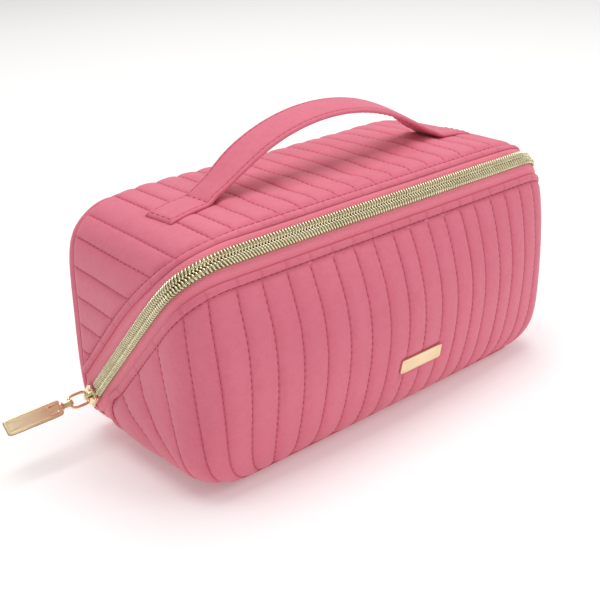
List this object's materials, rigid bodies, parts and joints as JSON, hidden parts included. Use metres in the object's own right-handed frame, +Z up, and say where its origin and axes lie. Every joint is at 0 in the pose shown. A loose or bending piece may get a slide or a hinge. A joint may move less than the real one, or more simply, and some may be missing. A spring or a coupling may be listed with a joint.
{
  "type": "makeup bag",
  "caption": "Soft quilted train-case makeup bag with a flat top handle, a zip that runs down both ends so the lid folds open, and a bar pull.",
  "frame": {"origin": "centre of the base, on the surface the bag stands on", "axes": "+X along the bag, to the right when seen from the nameplate side; +Y from the nameplate side to the back; +Z up"},
  "size_m": [0.2926, 0.1179, 0.155],
  "materials": {
    "quilted_pink": "matte smooth leatherette",
    "tape_pink": "woven twill",
    "lining_cloth": "plain woven lining",
    "foam": "soft foam",
    "board_plastic": "matte sheet",
    "gold": "polished pale gold",
    "webbing": "woven webbing"
  },
  "bodies": {
    "tray": {"front_panel": "quilted_pink", "base_panel": "quilted_pink", "front_padding": "foam", "tray_end_paddings": "foam", "base_padding": "foam", "base_board": "board_plastic", "tray_lining": "lining_cloth", "tray_edge": "quilted_pink", "tray_seam_binding": "lining_cloth", "zip_tape_tray": "tape_pink", "zip_coil_tray": "gold", "zip_stops": "gold", "fold_piping": "quilted_pink", "nameplate": "gold", "nameplate_backing": "gold"},
    "lid": {"lid_panel": "quilted_pink", "back_panel": "quilted_pink", "top_padding": "foam", "back_padding": "foam", "lid_end_paddings": "foam", "lid_lining": "lining_cloth", "lid_edge": "quilted_pink", "lid_seam_binding": "lining_cloth", "zip_tape_lid": "tape_pink", "zip_coil_lid": "gold", "handle_tab_left": "quilted_pink", "handle_tab_right": "quilted_pink"},
    "handle": {"handle_strap": "quilted_pink", "handle_core": "webbing"},
    "slider": {"slider_body": "gold", "slider_bail": "gold"},
    "link": {"pull_link": "gold"},
    "pull": {"pull_bracket": "gold", "pull_bar": "gold"}
  },
  "joints": [
    {"name": "lid_fold", "type": "hinge", "parent": "tray", "child": "lid", "pos_m": [0, 0.04953, 0.008], "axis": [-1, 0, 0], "range_deg": [0, 90]},
    {"name": "handle_lean", "type": "hinge", "parent": "lid", "child": "handle", "pos_m": [0, -0.004, 0.128], "axis": [1, 0, 0], "range_deg": [-30, 30], "stiffness_Nm_per_rad": 0.05},
    {"name": "slider_run", "type": "slide", "parent": "tray", "child": "slider", "axis": [-0.0227, -0.6998, 0.714], "range_m": [0, 0.09]},
    {"name": "link_swing", "type": "hinge", "parent": "slider", "child": "link", "pos_m": [-0.12485, 0.0369, 0.02694], "axis": [0, 0.7142, 0.6999], "range_deg": [-30, 60]},
    {"name": "pull_swing", "type": "hinge", "parent": "link", "child": "pull", "pos_m": [-0.13435, 0.03705, 0.02679], "axis": [0, 0.7142, 0.6999], "range_deg": [-10, 30]}
  ]
}
